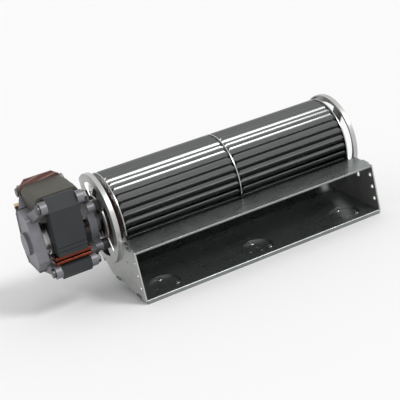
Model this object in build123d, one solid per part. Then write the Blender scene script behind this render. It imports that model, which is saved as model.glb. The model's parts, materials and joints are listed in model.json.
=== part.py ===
"""Tangential (cross flow) blower with a shaded-pole motor, all sizes in millimetres.

The pieces are drawn about the impeller axis, midway along the blades, and moved at the end
so that the origin lies in the middle of the lip under the mouth. +X runs along the axis away
from the motor, -Y is the way the air leaves, +Z is up.
"""
import os
from math import atan2, cos, degrees, hypot, radians, sin, tan

from build123d import *

# ---- impeller
BLADE_TIP_R = 30.5        # outer edge of a blade
BLADE_W = 5.9             # from a blade's inner edge to its outer one, along the radius
RIM = 0.5                 # how far the discs and the ring reach past the blades
BLADE_COUNT = 32
BLADE_T = 0.5             # blade strip thickness
BLADE_LEAN = 36.0         # degrees the blade chord leans forward of the radius
BLADE_SAG = 1.3           # depth of the blade's curve
SECTION_L = 89.0          # blade length between two rings
RING_T = 0.8              # thickness of end discs and middle ring
MIDDLE_RING_W = 9.0       # width of the middle ring's band
FIRST_BLADE = 4.4         # degrees, turns the whole cage of blades

# ---- sheet metal housing
SHEET_T = 1.0
END_GAP = 4.0             # from a wheel end disc to the inside of an end plate
DISH_H = 2.6              # how far the round dish stands out of an end plate
DISH_MARGIN = 1.8         # dish wall beyond the wheel
DISH_FLAT_Y = 19.0        # the drive side dish is cut flat here
WHEEL_CLEARANCE = 3.0     # wheel to scroll and wheel to tongue
MOUTH_Y = -51.7           # front edge of the cheeks
MOUTH_TOP_Z = -15.5       # top of the outlet at its front edge
MOUTH_FLOOR_Z = -49.4     # air side of the floor at its front edge
FLOOR_SLOPE = 6.9         # degrees, rising towards the back
RAMP_SLOPE = 45.0         # degrees, the scroll's straight run up behind the floor
RAMP_BEND_R = 8.0
SCROLL_TOP = 6.0          # degrees above the axis where the scroll's arc ends
BACK_LIP = 4.0            # stiffening lip, bent outwards at the scroll's top
FRONT_LIP = 3.0           # floor edge bent down
TONGUE_SLOPE = 9.5        # degrees, rising from the mouth towards the wheel
TONGUE_LIP = 6.0          # the tongue's edge, bent down along the wheel
TONGUE_HEM = 2.0          # the tongue's front edge, bent down
TAB_W = 7.0               # tabs that lock the sheets into the end plates
TAB_PROUD = 1.0           # tab length beyond an end plate's outer face
CHEEK_HOLE_R = 1.45
CHEEK_HOLE_PITCH = 9.0
CHEEK_HOLE_INSET = 3.9    # from the front edge to the row of three holes
CHEEK_TOP_HOLE_Z = -23.2
CHEEK_SLOT_L = 4.6        # the slotted hole behind the row
CHEEK_SLOT_Y = -32.2
CHEEK_SLOT_Z = -24.5

# ---- pressed dimples in the floor, each with three screw holes
DIMPLE_R = 12.0
DIMPLE_DEPTH = 1.6
DIMPLE_X = 74.0           # the two outer dimples
DIMPLE_FROM_EDGE = 15.7   # from the floor's front edge to a dimple's centre
DIMPLE_HOLE_R = 1.6
DIMPLE_HOLE_PCD = 18.0
MIDDLE_HOLE_PITCH = 6.5

# ---- openings in the end plates' dishes
HUB_HOLE_R = 13.0
VENT_IN_R = 17.0
VENT_OUT_R = 27.0
SPOKE_W = 10.0

# ---- shaft line
SHAFT_R = 3.0
RUNNING = 0.02            # radial clearance of a turning shaft in its bearing
BUSH_R = 4.6              # clamp sleeve inside the rubber hub
HUB_FLANGE_R = 22.0
HUB_FLANGE_T = 2.0
HUB_NECK_R = 14.0
HUB_KEEPER_R = 17.0
HUB_BODY_R = 9.0
HUB_DEPTH = 9.0           # how far the rubber hub reaches into the wheel
STUB_FLANGE_R = 9.0
STUB_FLANGE_T = 1.6
STUB_NECK_R = 5.0
STUB_HEAD_R = 7.0
STUB_L = 10.0             # the stub's journal, beyond its flange
BEARING_R = 5.5
BEARING_L = 7.0
MOTOR_BEARING_L = 6.0
MOUNT_FLANGE_R = 15.6     # rubber ring that carries the end bearing
MOUNT_FLANGE_T = 1.5
CAP_T = 0.8

# ---- motor; its pieces are drawn upright and then tilted about the axis
MOTOR_TILT = 7.0
STACK_L = 21.0            # thickness of the stacked laminations
STACK_GAP = 17.9          # from the dish to the stack
STACK_HALF_W = 26.0
STACK_TOP = 34.5
STACK_BOTTOM = -23.5
LIMB_W = 9.0
SHOULDER = 8.5            # bevel at the top outside corners
FOOT_BEVEL = 3.5
WINDOW_FLOOR = 15.5       # bottom of the window that the coil sits in
STATOR_BORE_R = 12.5
POLE_SPLIT = 1.2          # slot that parts the two poles above and below the bore
GROOVE_R = 0.9
GROOVE_Z = (-0.6, -3.6)
RING_BAR = 2.5            # copper shading bar, square
RING_GAP = 0.9            # between neighbouring shading rings
RING_BRIDGE = 4.2         # iron inside a shading ring
FRONT_RING_Z = -9.8       # middle of the pair on the front pole
BACK_RING_Y = 14.6        # middle of the pair on the back pole
CORE_H = 8.0
CORE_Z = 25.5
BOBBIN_WALL = 1.2
FLANGE_T = 1.6
FLANGE_HALF = 16.0
FLANGE_TOP = 38.5
FLANGE_CORNER = (7.0, 9.0)    # run and drop of the bevelled corner on the wheel's side
FLANGE_NICK = 5.0         # bevel of the other top corner
WINDING_T = 4.3
WINDING_R = 5.0
TAB_OUT = 5.8             # terminal shelf beyond the bobbin flange
TAB_LOW = 15.6
TAB_TOP = 21.8
TERMINAL_W = 5.0
TERMINAL_T = 0.8
TERMINAL_L = 8.0
ROTOR_R = 12.1
ROTOR_RING_T = 4.4        # cast end ring beyond the laminations
BRACKET_T = 5.4
BRACKET_WAIST = 10.5      # half width of a bracket's body beside the bearing
BRACKET_NECK = 4.0        # half width at its top and bottom
BRACKET_HALF_H = 20.5
ARM_R = 2.7               # half width of the arms that reach the ears
ARM_STEP = 1.2            # the arms lie this much below the body's outer face
ARM_ROOT = (2.0, 18.0)    # where an arm leaves the body, each side of its middle
LEFT_STANDOFF = 6.1       # from the stack to the outer bracket's body
RIGHT_STANDOFF = 8.6
SCREW_TOP_Z = 29.0
SCREW_LOW_Z = -17.5
EAR_R = 4.5
SCREW_R = 1.75
SCREW_HEAD_R = 3.2
SCREW_HEAD_T = 2.0
NUT_R = 3.5
NUT_T = 2.4
BOSS_R = 8.0
BOSS_L = 3.0
BOSS_CROWN = 2.0          # metal left over the bearing's end
POST_Y = 11.0
POST_Z = 14.5
POST_R = 4.0
POST_SCREW_R = 1.5
POST_HEAD_R = 2.8
POST_HEAD_T = 1.5
POST_BOSS_R = 3.4
POST_BOSS_L = 4.0

# ---- radii and stations along the axis, worked out from the sizes above
WHEEL_R = BLADE_TIP_R + RIM
BLADE_ROOT_R = BLADE_TIP_R - BLADE_W
DISH_R = WHEEL_R + DISH_MARGIN
SCREW_Y = STACK_HALF_W - LIMB_W / 2
WHEEL_END = SECTION_L + RING_T * 1.5
PLATE_IN = WHEEL_END + END_GAP
PLATE_OUT = PLATE_IN + SHEET_T
DISH_OUT = PLATE_OUT + DISH_H
DISH_IN = DISH_OUT - SHEET_T
STACK_X1 = -DISH_OUT - STACK_GAP
STACK_X0 = STACK_X1 - STACK_L
STACK_MID = (STACK_X0 + STACK_X1) / 2
LEFT_BODY_X1 = STACK_X0 - LEFT_STANDOFF
LEFT_BODY_X0 = LEFT_BODY_X1 - BRACKET_T
RIGHT_BODY_X0 = STACK_X1 + RIGHT_STANDOFF
RIGHT_BODY_X1 = RIGHT_BODY_X0 + BRACKET_T
SCROLL_R = WHEEL_R + WHEEL_CLEARANCE


def slab(sketch, x0, x1):
    """A flat shape drawn in Y and Z, given thickness along X."""
    return extrude(Plane.YZ.offset(x0) * sketch, amount=x1 - x0)


def rod(radius, x0, x1, y=0.0, z=0.0):
    """A round bar along X."""
    return slab(Pos(y, z) * Circle(radius), x0, x1)


def turned(points):
    """A body turned about the impeller axis, from (x, radius) corners."""
    profile = Plane.XZ * make_face(Polyline(*points, close=True))
    return revolve(profile, Axis.X, 360)


def capsule(start, end, radius):
    """A bar with round ends, between two points of a sketch."""
    run = (end[0] - start[0], end[1] - start[1])
    middle = Pos((start[0] + end[0]) / 2, (start[1] + end[1]) / 2)
    return middle * Rot(Z=degrees(atan2(run[1], run[0]))) * SlotCenterToCenter(hypot(*run), 2 * radius)


def block(y0, y1, z0, z1):
    """A rectangle in Y and Z from its corners."""
    return Pos((y0 + y1) / 2, (z0 + z1) / 2) * Rectangle(y1 - y0, z1 - z0)


def tilted(solid):
    """Turns a motor piece from upright into its mounted angle."""
    return Rot(X=MOTOR_TILT) * solid


def unit(angle):
    """A unit vector in Y and Z, from degrees above +Y."""
    return cos(radians(angle)), sin(radians(angle))


def at(radius, angle):
    """A point of a sketch, from its distance and its angle above +Y."""
    along = unit(angle)
    return radius * along[0], radius * along[1]


# ---- impeller -------------------------------------------------------------------------

def blade_profile():
    """One curved strip: radial at its root, its tip swept forward.

    Forward is clockwise seen from +X, down the scroll and out of the mouth.
    """
    mid_r = (BLADE_TIP_R + BLADE_ROOT_R) / 2
    half = (BLADE_TIP_R - BLADE_ROOT_R) / 2 / cos(radians(BLADE_LEAN))
    along = unit(-BLADE_LEAN)
    root = (mid_r - half * along[0], -half * along[1])
    tip = (mid_r + half * along[0], half * along[1])
    bow = (mid_r - BLADE_SAG * along[1], BLADE_SAG * along[0])
    centre = ThreePointArc(root, bow, tip).arc_center
    back = ThreePointArc(*(shifted(p, centre, BLADE_T / 2) for p in (root, bow, tip)))
    front = ThreePointArc(*(shifted(p, centre, -BLADE_T / 2) for p in (root, bow, tip)))
    return make_face([back, Line(back @ 1, front @ 1), front, Line(front @ 0, back @ 0)])


def shifted(point, centre, distance):
    """A point of a sketch moved away from a centre."""
    run = (point[0] - centre.X, point[1] - centre.Y)
    scale = 1 + distance / hypot(*run)
    return centre.X + run[0] * scale, centre.Y + run[1] * scale


def impeller_blades():
    profile = blade_profile()
    blades = []
    for number in range(BLADE_COUNT):
        turn = Rot(Z=180 + FIRST_BLADE + number * 360 / BLADE_COUNT)
        for side in (-1, 1):
            near = side * RING_T / 2
            blades.append(slab(turn * profile, near, near + side * SECTION_L))
    return Compound(blades)


def middle_ring():
    return slab(Circle(WHEEL_R) - Circle(WHEEL_R - MIDDLE_RING_W), -RING_T / 2, RING_T / 2)


def drive_disc():
    return slab(Circle(WHEEL_R) - Circle(HUB_NECK_R), -WHEEL_END, -WHEEL_END + RING_T)


def bearing_disc():
    return slab(Circle(WHEEL_R) - Circle(STUB_NECK_R), WHEEL_END - RING_T, WHEEL_END)


def rubber_drive_hub():
    face = -WHEEL_END
    inner = face + RING_T
    return turned([
        (face - HUB_FLANGE_T, BUSH_R), (face - HUB_FLANGE_T, HUB_FLANGE_R - 1), (face - 1, HUB_FLANGE_R),
        (face, HUB_FLANGE_R), (face, HUB_NECK_R), (inner, HUB_NECK_R), (inner, HUB_KEEPER_R),
        (inner + 1, HUB_KEEPER_R), (inner + 2, HUB_BODY_R), (face + HUB_DEPTH, HUB_BODY_R - 1),
        (face + HUB_DEPTH, BUSH_R),
    ])


def hub_bush():
    face = -WHEEL_END - HUB_FLANGE_T
    return turned([
        (face - 1, SHAFT_R), (face - 1, BUSH_R + 1.5), (face, BUSH_R + 1.5), (face, BUSH_R),
        (-WHEEL_END + HUB_DEPTH, BUSH_R), (-WHEEL_END + HUB_DEPTH, SHAFT_R),
    ])


def stub_shaft():
    inner = WHEEL_END - RING_T
    flange = WHEEL_END + STUB_FLANGE_T
    end = flange + STUB_L
    return turned([
        (inner - 1.2, 0), (inner - 1.2, STUB_HEAD_R - 1), (inner - 0.4, STUB_HEAD_R), (inner, STUB_HEAD_R),
        (inner, STUB_NECK_R), (WHEEL_END, STUB_NECK_R), (WHEEL_END, STUB_FLANGE_R), (flange, STUB_FLANGE_R),
        (flange, SHAFT_R), (end - 0.5, SHAFT_R), (end, SHAFT_R - 0.5), (end, 0),
    ])


# ---- housing --------------------------------------------------------------------------

def crossing(point_a, slope_a, point_b, slope_b):
    """Where two sloping lines of a sketch meet."""
    rise_a, rise_b = tan(radians(slope_a)), tan(radians(slope_b))
    (ya, za), (yb, zb) = point_a, point_b
    y = (zb - za + rise_a * ya - rise_b * yb) / (rise_a - rise_b)
    return y, za + rise_a * (y - ya)


def scroll_line(air_r):
    """The scroll's path from its back lip to its front lip, at a radius about the axis."""
    grow = air_r - SCROLL_R
    leave = RAMP_SLOPE - 90
    arc = ThreePointArc(at(air_r, SCROLL_TOP), at(air_r, (SCROLL_TOP + leave) / 2), at(air_r, leave))
    floor_dir = unit(FLOOR_SLOPE)
    edge = (MOUTH_Y, MOUTH_FLOOR_Z - grow / floor_dir[0])
    corner = crossing(edge, FLOOR_SLOPE, at(air_r, leave), RAMP_SLOPE)
    bend_r = RAMP_BEND_R + grow
    back_off = bend_r * tan(radians((RAMP_SLOPE - FLOOR_SLOPE) / 2))
    ramp_dir = unit(RAMP_SLOPE)
    ramp_foot = (corner[0] + back_off * ramp_dir[0], corner[1] + back_off * ramp_dir[1])
    floor_end = (corner[0] - back_off * floor_dir[0], corner[1] - back_off * floor_dir[1])
    ramp = Line(arc @ 1, ramp_foot)
    bend = JernArc(ramp_foot, ramp % 1, bend_r, -(RAMP_SLOPE - FLOOR_SLOPE))
    floor = Line(floor_end, edge)
    return arc, ramp, bend, floor


def scroll_profile():
    """The bent sheet: lip, arc, ramp, floor and front lip, one sheet thick."""
    inside = scroll_line(SCROLL_R)
    outside = scroll_line(SCROLL_R + SHEET_T)
    sheet = make_face([
        *inside, Line(inside[3] @ 1, outside[3] @ 1), *outside, Line(outside[0] @ 0, inside[0] @ 0),
    ])
    back_lip = Rot(Z=SCROLL_TOP) * block(SCROLL_R, SCROLL_R + BACK_LIP, -SHEET_T, 0)
    edge = inside[3] @ 1
    front_lip = block(edge.X, edge.X + SHEET_T, edge.Y - FRONT_LIP, edge.Y)
    return sheet + back_lip + front_lip


def floor_frame(x):
    """A plane on the air side of the floor, at a dimple's centre, facing up."""
    run = unit(FLOOR_SLOPE)
    origin = (x, MOUTH_Y + DIMPLE_FROM_EDGE * run[0], MOUTH_FLOOR_Z + DIMPLE_FROM_EDGE * run[1])
    return Plane(origin=origin, x_dir=(1, 0, 0), z_dir=(0, -run[1], run[0]))


def tab_blocks(spots):
    """Rectangles, one for each (y, z, slope), where tabs reach through the end plates."""
    return [Pos(y, z) * Rot(Z=slope) * Rectangle(TAB_W, 4 * SHEET_T) for y, z, slope in spots]


def scroll_tabs():
    """The sheet's own profile, kept only where its locking tabs are."""
    arc, ramp, bend, floor = scroll_line(SCROLL_R + SHEET_T / 2)
    spots = [
        ((floor @ 0.15).X, (floor @ 0.15).Y, FLOOR_SLOPE), ((floor @ 0.8).X, (floor @ 0.8).Y, FLOOR_SLOPE),
        ((ramp @ 0.5).X, (ramp @ 0.5).Y, RAMP_SLOPE),
    ]
    profile = scroll_profile()
    return [profile & spot for spot in tab_blocks(spots)]


def scroll_sheet():
    sheet = slab(scroll_profile(), -PLATE_IN, PLATE_IN)
    for tab in scroll_tabs():
        sheet = sheet + slab(tab, -PLATE_OUT - TAB_PROUD, PLATE_OUT + TAB_PROUD)
    for x in (-DIMPLE_X, 0, DIMPLE_X):
        frame = floor_frame(x)
        cup = frame * Pos(0, 0, -DIMPLE_DEPTH - SHEET_T) * extrude(Circle(DIMPLE_R), amount=DIMPLE_DEPTH)
        bowl = extrude(Circle(DIMPLE_R - SHEET_T), amount=DIMPLE_DEPTH * 2)
        hollow = frame * Pos(0, 0, -DIMPLE_DEPTH) * bowl
        sheet = sheet + cup - hollow
        for dx, dy in dimple_holes(x):
            drill = Pos(dx, dy, -4 * DIMPLE_DEPTH) * extrude(Circle(DIMPLE_HOLE_R), amount=8 * DIMPLE_DEPTH)
            sheet = sheet - frame * drill
    return sheet


def dimple_holes(x):
    """The outer dimples have their holes on a circle, the middle one in a row."""
    if x == 0:
        return [(0, step * MIDDLE_HOLE_PITCH) for step in (-1, 0, 1)]
    ring = DIMPLE_HOLE_PCD / 2
    return [(ring * cos(radians(a)), ring * sin(radians(a))) for a in (90, 210, 330)]


def tongue_profile():
    """The strip above the outlet: hem, sloping top and a lip that follows the wheel."""
    slope = tan(radians(TONGUE_SLOPE))
    near_r = SCROLL_R
    # the top face meets the circle around the wheel
    a = 1 + slope * slope
    b = 2 * slope * (MOUTH_TOP_Z - slope * MOUTH_Y)
    c = (MOUTH_TOP_Z - slope * MOUTH_Y) ** 2 - near_r ** 2
    tip_y = (-b - (b * b - 4 * a * c) ** 0.5) / (2 * a)
    tip_z = MOUTH_TOP_Z + slope * (tip_y - MOUTH_Y)
    start = degrees(atan2(tip_z, tip_y)) % 360
    sweep = degrees(TONGUE_LIP / near_r)
    top = Polyline((MOUTH_Y, MOUTH_TOP_Z), (tip_y, tip_z), (tip_y, tip_z - SHEET_T),
                   (MOUTH_Y, MOUTH_TOP_Z - SHEET_T), close=True)
    radii = (near_r, near_r + SHEET_T)
    near, far = (ThreePointArc(*(at(r, start + sweep * k) for k in (0, 0.5, 1))) for r in radii)
    lip = make_face([near, Line(near @ 1, far @ 1), far, Line(far @ 0, near @ 0)])
    hem = block(MOUTH_Y, MOUTH_Y + SHEET_T, MOUTH_TOP_Z - SHEET_T - TONGUE_HEM, MOUTH_TOP_Z - SHEET_T / 2)
    return make_face(top) + lip + hem


def tongue_tab():
    slope = tan(radians(TONGUE_SLOPE))
    y = MOUTH_Y + TAB_W * 1.3
    return tongue_profile() & tab_blocks([(y, MOUTH_TOP_Z + slope * (y - MOUTH_Y), TONGUE_SLOPE)])[0]


def tongue_sheet():
    return slab(tongue_profile(), -PLATE_IN, PLATE_IN) + slab(
        tongue_tab(), -PLATE_OUT - TAB_PROUD, PLATE_OUT + TAB_PROUD)


def plate_outline():
    """Round about the wheel, with the cheek of the outlet and the scroll's outside."""
    arc, ramp, bend, floor = scroll_line(SCROLL_R + SHEET_T)
    slope = tan(radians(TONGUE_SLOPE))
    inner_y = -DISH_R * 0.9
    inner_z = MOUTH_TOP_Z + slope * (inner_y - MOUTH_Y)
    cheek = make_face([
        Line((0, 0), arc @ 1), ramp, bend, floor,
        Polyline(floor @ 1, (MOUTH_Y, MOUTH_TOP_Z), (inner_y, inner_z), (0, 0)),
    ])
    back = make_face([Line((0, 0), arc @ 0), arc, Line(arc @ 1, (0, 0))])
    return Circle(DISH_R) + cheek + back


def dish_outline(flat_side):
    outline = Circle(DISH_R)
    if flat_side:
        outline = outline - block(DISH_FLAT_Y, DISH_R * 2, -DISH_R * 2, DISH_R * 2)
    return outline


def vent_outline(flat_side, turn):
    """Four windows between the hub hole and the dish wall, parted by spokes."""
    ring = Circle(VENT_OUT_R) - Circle(VENT_IN_R)
    spoke_angle = degrees(atan2(POST_Z, POST_Y))
    for angle in (spoke_angle, -spoke_angle):
        ring = ring - Rot(Z=angle + turn) * Rectangle(4 * DISH_R, SPOKE_W)
    return ring & offset(dish_outline(flat_side), amount=-3.5 * SHEET_T)


def end_plate(side, flat_side):
    """An end plate; side is -1 at the motor and 1 at the far end."""
    outline = plate_outline()
    dish = dish_outline(flat_side)
    inner = offset(dish, amount=-SHEET_T)
    turn = MOTOR_TILT if flat_side else 0
    plate = slab(outline, side * PLATE_IN, side * PLATE_OUT) + slab(dish, side * PLATE_IN, side * DISH_OUT)
    plate = plate - slab(inner, side * PLATE_IN, side * DISH_IN)
    holes = Circle(HUB_HOLE_R) + vent_outline(flat_side, turn)
    row_y = MOUTH_Y + CHEEK_HOLE_INSET
    for step in range(3):
        holes = holes + Pos(row_y, CHEEK_TOP_HOLE_Z - step * CHEEK_HOLE_PITCH) * Circle(CHEEK_HOLE_R)
    slot = Rot(Z=90) * SlotOverall(CHEEK_SLOT_L, 2 * CHEEK_HOLE_R)
    holes = holes + Pos(CHEEK_SLOT_Y, CHEEK_SLOT_Z) * slot
    if flat_side:
        for y, z in post_spots(MOTOR_TILT):
            holes = holes + Pos(y, z) * Circle(POST_SCREW_R)
    for tab in [*scroll_tabs(), tongue_tab()]:
        holes = holes + tab
    return plate - slab(holes, side * (PLATE_IN - 1), side * (DISH_OUT + 1))


def post_spots(turn=0.0):
    """Places of the four motor posts, turned about the axis."""
    c, s = cos(radians(turn)), sin(radians(turn))
    corners = [(y, z) for y in (-POST_Y, POST_Y) for z in (-POST_Z, POST_Z)]
    return [(y * c - z * s, y * s + z * c) for y, z in corners]


# ---- end bearing ----------------------------------------------------------------------

def bearing_rubber_mount():
    return turned([
        (DISH_IN - MOUNT_FLANGE_T, BEARING_R), (DISH_IN - MOUNT_FLANGE_T, MOUNT_FLANGE_R),
        (DISH_IN, MOUNT_FLANGE_R), (DISH_IN, HUB_HOLE_R), (DISH_OUT, HUB_HOLE_R),
        (DISH_OUT, MOUNT_FLANGE_R), (DISH_OUT + MOUNT_FLANGE_T, MOUNT_FLANGE_R - 1),
        (DISH_OUT + MOUNT_FLANGE_T, BEARING_R),
    ])


def end_bearing():
    middle = (DISH_IN + DISH_OUT) / 2
    sleeve = Circle(BEARING_R) - Circle(SHAFT_R + RUNNING)
    return slab(sleeve, middle - BEARING_L / 2, middle + BEARING_L / 2)


def bearing_cap():
    """A pressed cap over the outer end of the bearing."""
    seat = DISH_OUT + MOUNT_FLANGE_T
    top = WHEEL_END + STUB_FLANGE_T + STUB_L + 1.5
    return turned([
        (seat, BEARING_R), (seat, BEARING_R + 3), (seat + CAP_T, BEARING_R + 3),
        (seat + CAP_T, BEARING_R + CAP_T), (top - 1, BEARING_R + CAP_T), (top, BEARING_R - 0.4), (top, 0),
        (top - CAP_T, 0), (top - CAP_T, BEARING_R - 1), (top - 1.4, BEARING_R),
    ])


# ---- motor ----------------------------------------------------------------------------

def ring_places():
    """Each shading ring as (front or back pole, middle of its bar)."""
    half = (RING_BAR + RING_GAP) / 2
    front = [("front", FRONT_RING_Z - half), ("front", FRONT_RING_Z + half)]
    back = [("back", BACK_RING_Y - half), ("back", BACK_RING_Y + half)]
    return front + back


def ring_legs(pole, middle):
    """The two rectangles where a shading ring's bars pass along the stack."""
    lo, hi = middle - RING_BAR / 2, middle + RING_BAR / 2
    if pole == "front":
        outer = -STACK_HALF_W + 2 * RING_BAR
        inner = outer + RING_BRIDGE
        return block(outer - RING_BAR, outer, lo, hi), block(inner, inner + RING_BAR, lo, hi)
    outer = WINDOW_FLOOR - RING_BAR - 0.6
    inner = outer - RING_BRIDGE
    return block(lo, hi, outer, outer + RING_BAR), block(lo, hi, inner - RING_BAR, inner)


def shading_slots():
    """Room for the shading rings: open notches outside, closed slots near the bore."""
    reach = RING_BAR + RING_GAP / 2
    outer = -STACK_HALF_W + 2 * RING_BAR
    inner = outer + RING_BRIDGE
    front_notch = block(-STACK_HALF_W - 1, outer, FRONT_RING_Z - reach - 0.6, FRONT_RING_Z + reach + 0.6)
    front_slot = block(inner, inner + RING_BAR, FRONT_RING_Z - reach, FRONT_RING_Z + reach)
    top = WINDOW_FLOOR - RING_BAR - 0.6
    low = top - RING_BRIDGE
    back_notch = block(BACK_RING_Y - reach, BACK_RING_Y + reach, top, WINDOW_FLOOR + 1)
    back_slot = block(BACK_RING_Y - reach, BACK_RING_Y + reach, low - RING_BAR, low)
    return front_notch + front_slot + back_notch + back_slot


def stator_outline():
    """The C-shaped lamination, without the bar that closes it at the top."""
    w, top, low = STACK_HALF_W, STACK_TOP, STACK_BOTTOM
    body = make_face(Polyline(
        (-w + FOOT_BEVEL, low), (w - FOOT_BEVEL, low), (w, low + FOOT_BEVEL), (w, top - SHOULDER),
        (w - SHOULDER * 0.7, top), (-w + SHOULDER * 0.7, top), (-w, top - SHOULDER), (-w, low + FOOT_BEVEL),
        close=True))
    window = block(-w + LIMB_W, w - LIMB_W, WINDOW_FLOOR, top + 1)
    outline = body - window - Circle(STATOR_BORE_R)
    outline = outline - block(-POLE_SPLIT / 2, POLE_SPLIT / 2, STATOR_BORE_R - 1, WINDOW_FLOOR - 0.9)
    outline = outline - block(-POLE_SPLIT / 2, POLE_SPLIT / 2, -STATOR_BORE_R - 3, -STATOR_BORE_R + 1)
    for z in GROOVE_Z:
        outline = outline - Pos(-w, z) * Circle(GROOVE_R)
    for y in (-SCREW_Y, SCREW_Y):
        for z in (SCREW_TOP_Z, SCREW_LOW_Z):
            outline = outline - Pos(y, z) * Circle(SCREW_R)
    return outline - shading_slots()


def stator_stack():
    return tilted(slab(stator_outline(), STACK_X0, STACK_X1))


def coil_core_bar():
    half = STACK_HALF_W - LIMB_W
    return tilted(slab(block(-half, half, CORE_Z - CORE_H / 2, CORE_Z + CORE_H / 2), STACK_X0, STACK_X1))


def bobbin_flange_outline():
    """The flange seen along Y, as a sketch in X and Z, with its top corners bevelled."""
    half, low = FLANGE_HALF, WINDOW_FLOOR
    run, drop = FLANGE_CORNER
    return make_face(Polyline(
        (-half, low), (half, low), (half, FLANGE_TOP - drop), (half - run * 0.4, FLANGE_TOP - drop / 3),
        (half - run, FLANGE_TOP), (-half + FLANGE_NICK, FLANGE_TOP), (-half, FLANGE_TOP - FLANGE_NICK),
        close=True))


def across(sketch, y0, y1):
    """A shape drawn in X (from the stack's middle) and Z, given thickness along Y."""
    plane = Plane(origin=(STACK_MID, y0, 0), x_dir=(1, 0, 0), z_dir=(0, -1, 0))
    return extrude(plane * sketch, amount=-(y1 - y0))


def coil_bobbin():
    half = STACK_HALF_W - LIMB_W
    hole = Pos(0, CORE_Z) * Rectangle(STACK_L, CORE_H)
    sleeve = Pos(0, CORE_Z) * Rectangle(STACK_L + 2 * BOBBIN_WALL, CORE_H + 2 * BOBBIN_WALL)
    shelf = make_face(Polyline(
        (-FLANGE_HALF, TAB_LOW), (-FLANGE_HALF, TAB_TOP), (-FLANGE_HALF - TAB_OUT, TAB_TOP),
        (-FLANGE_HALF - TAB_OUT * 0.8, TAB_LOW + 2.5), (-FLANGE_HALF - TAB_OUT * 0.3, TAB_LOW), close=True))
    flange = bobbin_flange_outline()
    bobbin = across(sleeve - hole, -half, half)
    bobbin = bobbin + across(flange - hole, -half, -half + FLANGE_T)
    bobbin = bobbin + across(flange + shelf - hole, half - FLANGE_T, half)
    return tilted(bobbin)


def coil_winding():
    half = STACK_HALF_W - LIMB_W - FLANGE_T
    inner = Rectangle(STACK_L + 2 * BOBBIN_WALL, CORE_H + 2 * BOBBIN_WALL)
    outer = RectangleRounded(
        STACK_L + 2 * (BOBBIN_WALL + WINDING_T), CORE_H + 2 * (BOBBIN_WALL + WINDING_T), WINDING_R)
    return tilted(across(Pos(0, CORE_Z) * (outer - inner), -half, half))


def terminals():
    half = STACK_HALF_W - LIMB_W
    blades = []
    for z in (TAB_LOW + 1.6, TAB_TOP - 1.6):
        blade = Pos(-FLANGE_HALF - TERMINAL_W / 2 + 1, z) * Rectangle(TERMINAL_W, TERMINAL_T)
        blades.append(tilted(across(blade, half, half + TERMINAL_L)))
    return Compound(blades)


def shading_rings():
    rings = []
    for pole, middle in ring_places():
        outer, inner = ring_legs(pole, middle)
        bars = slab(outer, STACK_X0, STACK_X1) + slab(inner, STACK_X0, STACK_X1)
        box = (outer + inner).bounding_box()
        end = block(box.min.X, box.max.X, box.min.Y, box.max.Y)
        for x0, x1 in ((STACK_X0 - RING_BAR, STACK_X0), (STACK_X1, STACK_X1 + RING_BAR)):
            bars = bars + slab(end, x0, x1)
        rings.append(tilted(bars))
    return Compound(rings)


def rotor():
    ring_r = ROTOR_R - 0.8
    return turned([
        (STACK_X0 - ROTOR_RING_T, SHAFT_R + 2.5), (STACK_X0 - ROTOR_RING_T, ring_r - 1),
        (STACK_X0 - ROTOR_RING_T + 1, ring_r), (STACK_X0, ring_r), (STACK_X0, ROTOR_R), (STACK_X1, ROTOR_R),
        (STACK_X1, ring_r), (STACK_X1 + ROTOR_RING_T - 1, ring_r), (STACK_X1 + ROTOR_RING_T, ring_r - 1),
        (STACK_X1 + ROTOR_RING_T, SHAFT_R + 2.5), (STACK_X1, SHAFT_R + 2.5), (STACK_X1, SHAFT_R),
        (STACK_X0, SHAFT_R), (STACK_X0, SHAFT_R + 2.5),
    ])


def motor_shaft():
    start = LEFT_BODY_X0 - BOSS_L + BOSS_CROWN + 0.4
    end = -WHEEL_END + HUB_DEPTH + 2
    return turned([
        (start, 0), (start, SHAFT_R - 0.5), (start + 0.5, SHAFT_R),
        (end - 0.5, SHAFT_R), (end, SHAFT_R - 0.5), (end, 0),
    ])


def screw_spots():
    return [(y, z) for y in (-SCREW_Y, SCREW_Y) for z in (SCREW_LOW_Z, SCREW_TOP_Z)]


def bracket_outline():
    """The body of a bearing bridge: widest beside the bearing, narrow at both ends."""
    w, n, h, shelf = BRACKET_WAIST, BRACKET_NECK, BRACKET_HALF_H, BRACKET_WAIST * 0.3
    return make_face(Polyline(
        (-n, h), (n, h), (w, shelf), (w, -shelf), (n, -h), (-n, -h), (-w, -shelf), (-w, shelf), close=True))


def bracket(body_out, side, standoff, has_posts):
    """A cast bearing bridge on four legs that stand on the stack.

    body_out is the body's outer face and side points from the stack to it.
    """
    body_in = body_out - side * BRACKET_T
    arm_out = body_out - side * ARM_STEP
    foot = body_in - side * standoff
    casting = slab(bracket_outline(), body_in, body_out)
    for y, z in screw_spots():
        root = (ARM_ROOT[0] * (1 if y > 0 else -1), ARM_ROOT[1] * (1 if z > 0 else -1))
        casting = casting + slab(capsule((y, z), root, ARM_R), body_in, arm_out)
        casting = casting + slab(Pos(y, z) * Circle(EAR_R), foot, arm_out)
    casting = casting + slab(Circle(BOSS_R), body_in, body_out + side * BOSS_L)
    if has_posts:
        for y, z in post_spots():
            casting = casting + slab(capsule((y, z), (y * 0.2, z * 0.8), POST_BOSS_R), body_in, body_out)
    return tilted(casting - bracket_holes(body_out, body_in, foot, side, has_posts))


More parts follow.
